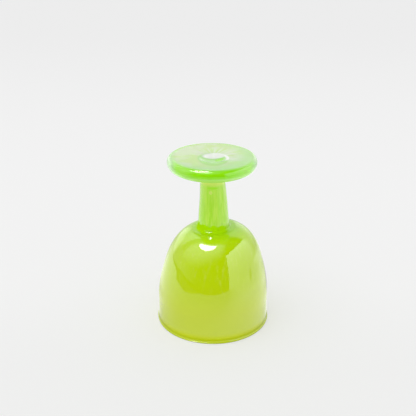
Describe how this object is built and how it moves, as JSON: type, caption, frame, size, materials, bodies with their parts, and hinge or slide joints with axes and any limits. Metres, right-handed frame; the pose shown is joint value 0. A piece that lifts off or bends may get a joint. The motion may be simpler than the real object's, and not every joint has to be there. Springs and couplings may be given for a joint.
{
  "type": "goblet",
  "caption": "Stemmed goblet of cased glass: a deep lime bowl with an opal lining, a tapered green stem with an opal core and a thick green foot, standing on its rim.",
  "frame": {"origin": "centre of the rim plane, on the surface that the upturned goblet stands on", "axes": "+Z along the axis from the rim to the foot; X and Y free, as it is a body of revolution"},
  "size_m": [0.0856, 0.0856, 0.1313],
  "materials": {
    "lime_glass": "clear lime casing, fire-polished gloss",
    "opal_glass": "dense white opal, gloss",
    "green_glass": "clear green sleeve with fine drawn streaks, gloss",
    "foot_glass": "clear green, fire-polished edge and polished dimple"
  },
  "bodies": {
    "root": {"bowl_casing": "lime_glass", "bowl_lining": "opal_glass", "stem_sleeve": "green_glass", "stem_core": "opal_glass", "foot_disc": "foot_glass"}
  },
  "joints": []
}
